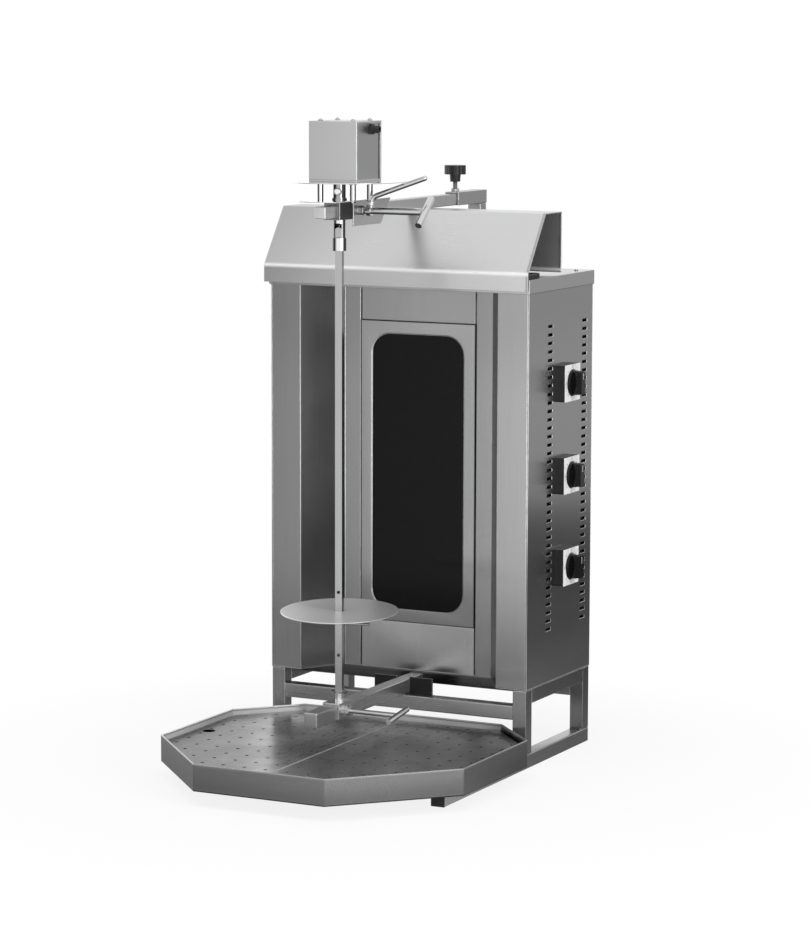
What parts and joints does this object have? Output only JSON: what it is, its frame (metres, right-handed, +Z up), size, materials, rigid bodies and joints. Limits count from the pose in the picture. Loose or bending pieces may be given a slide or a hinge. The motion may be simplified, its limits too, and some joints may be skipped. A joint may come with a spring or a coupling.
{
  "type": "electric skewer grill",
  "caption": "Upright electric skewer grill: heater cabinet with hood and switches, motor driven square skewer on adjustable arms, tube base frame and slide-out drip pan.",
  "frame": {"origin": "on the floor, below the middle of the grill's overall width and depth", "axes": "+X to the right seen from the front, +Y to the back, +Z up along the skewer"},
  "size_m": [0.576, 0.83, 1.1215],
  "materials": {
    "brushed_frame": "satin",
    "brushed_panel": "satin",
    "polished_sheet": "mirror",
    "cover_steel": "satin",
    "perforated_steel": "satin",
    "plated_steel": "polished",
    "dark_steel": "satin",
    "black_plastic": "gloss",
    "black_fitting": "matt",
    "plug_plastic": "matt",
    "black_glass": "gloss",
    "white_plate": "gloss",
    "fibre_board": "matt",
    "heater_ceramic": "matt",
    "motor_metal": "satin"
  },
  "bodies": {
    "root": {"base_legs": "brushed_frame", "bottom_side_rails": "brushed_frame", "top_rails": "brushed_frame", "mid_rail": "brushed_frame", "cross_rail": "brushed_frame", "arm_support": "dark_steel", "tube_plugs": "plug_plastic", "bottom_arm": "brushed_frame", "floor_panel": "brushed_panel", "back_panel": "brushed_panel", "side_panel_left": "brushed_panel", "side_panel_right": "brushed_panel", "front_casing_left": "brushed_panel", "front_casing_right": "brushed_panel", "top_blank_panel": "brushed_panel", "window_frame": "brushed_panel", "window_glass": "black_glass", "lower_panel": "brushed_panel", "cap": "brushed_panel", "hood": "cover_steel", "hood_brackets": "dark_steel", "frame_bolts": "plated_steel", "heater_elements": "heater_ceramic", "heater_tray": "polished_sheet", "insulation_board": "fibre_board", "terminal_block": "fibre_board", "mains_gland": "black_fitting", "switch_boxes": "black_fitting", "switch_plates": "white_plate", "rotary_switches": "fibre_board", "rear_post": "brushed_frame", "arm_bracket": "cover_steel"},
    "star_knob": {"star_knob": "black_plastic"},
    "top_arm": {"top_arm": "brushed_frame", "carriage": "dark_steel", "guard_plate": "cover_steel", "shield_plate": "polished_sheet", "motor_posts": "plated_steel", "shield_disc": "polished_sheet", "motor_base": "cover_steel", "motor_cover": "cover_steel", "motor_side_panels": "cover_steel", "dome_nuts": "plated_steel", "motor_gland": "black_fitting", "gear_motor": "motor_metal"},
    "drive": {"drive_coupling": "dark_steel", "skewer_socket": "plated_steel"},
    "locking_collar": {"locking_collar": "plated_steel"},
    "top_clamp_screw": {"top_clamp_screw": "plated_steel"},
    "lock_lever": {"lock_lever": "plated_steel"},
    "saddle": {"saddle": "plated_steel"},
    "bottom_clamp_screw": {"bottom_clamp_screw": "plated_steel"},
    "skewer": {"skewer": "plated_steel"},
    "meat_disc": {"meat_disc": "polished_sheet"},
    "knob_upper": {"knob_upper": "black_plastic"},
    "knob_middle": {"knob_middle": "black_plastic"},
    "knob_lower": {"knob_lower": "black_plastic"},
    "drip_pan": {"drip_pan": "cover_steel"},
    "tray_left": {"tray_left": "perforated_steel"},
    "tray_right": {"tray_right": "perforated_steel"}
  },
  "joints": [
    {"name": "arm_slide", "type": "slide", "parent": "root", "child": "top_arm", "axis": [0, 1, 0], "range_m": [-0.04, 0.12]},
    {"name": "saddle_slide", "type": "slide", "parent": "root", "child": "saddle", "axis": [0, 1, 0], "range_m": [-0.04, 0.12]},
    {"name": "skewer_spin", "type": "hinge", "parent": "saddle", "child": "skewer", "pos_m": [0, -0.131, 0.155], "axis": [0, 0, 1], "continuous": true},
    {"name": "drive_spin", "type": "hinge", "parent": "top_arm", "child": "drive", "pos_m": [0, -0.131, 0.99], "axis": [0, 0, 1], "continuous": true},
    {"name": "collar_lift", "type": "slide", "parent": "drive", "child": "locking_collar", "axis": [0, 0, 1], "range_m": [0, 0.02]},
    {"name": "disc_lift", "type": "slide", "parent": "skewer", "child": "meat_disc", "axis": [0, 0, 1], "range_m": [0, 0.5]},
    {"name": "top_clamp_turn", "type": "hinge", "parent": "top_arm", "child": "top_clamp_screw", "pos_m": [0.1, -0.093, 0.968], "axis": [1, 0, 0], "range_deg": [0, 360]},
    {"name": "lock_lever_swing", "type": "hinge", "parent": "top_arm", "child": "lock_lever", "pos_m": [0.037, -0.093, 0.968], "axis": [1, 0, 0], "range_deg": [0, 90]},
    {"name": "bottom_clamp_turn", "type": "hinge", "parent": "saddle", "child": "bottom_clamp_screw", "pos_m": [0.06, -0.137, 0.1235], "axis": [1, 0, 0], "range_deg": [0, 360]},
    {"name": "star_knob_turn", "type": "hinge", "parent": "root", "child": "star_knob", "pos_m": [0, 0.311, 1], "axis": [0, 0, 1], "range_deg": [0, 360]},
    {"name": "knob_upper_turn", "type": "hinge", "parent": "root", "child": "knob_upper", "pos_m": [0.27, 0.232, 0.66], "axis": [1, 0, 0], "range_deg": [-270, 0]},
    {"name": "knob_middle_turn", "type": "hinge", "parent": "root", "child": "knob_middle", "pos_m": [0.27, 0.232, 0.4985], "axis": [1, 0, 0], "range_deg": [-270, 0]},
    {"name": "knob_lower_turn", "type": "hinge", "parent": "root", "child": "knob_lower", "pos_m": [0.27, 0.232, 0.337], "axis": [1, 0, 0], "range_deg": [-270, 0]},
    {"name": "pan_slide", "type": "slide", "parent": "root", "child": "drip_pan", "axis": [0, -1, 0], "range_m": [0, 0.45]},
    {"name": "tray_left_lift", "type": "slide", "parent": "drip_pan", "child": "tray_left", "axis": [0, 0, 1], "range_m": [0, 0.022]},
    {"name": "tray_right_lift", "type": "slide", "parent": "drip_pan", "child": "tray_right", "axis": [0, 0, 1], "range_m": [0, 0.022]}
  ],
  "couplings": [
    {"joint": "saddle_slide", "follows": "arm_slide", "ratio": 1},
    {"joint": "drive_spin", "follows": "skewer_spin", "ratio": 1}
  ]
}
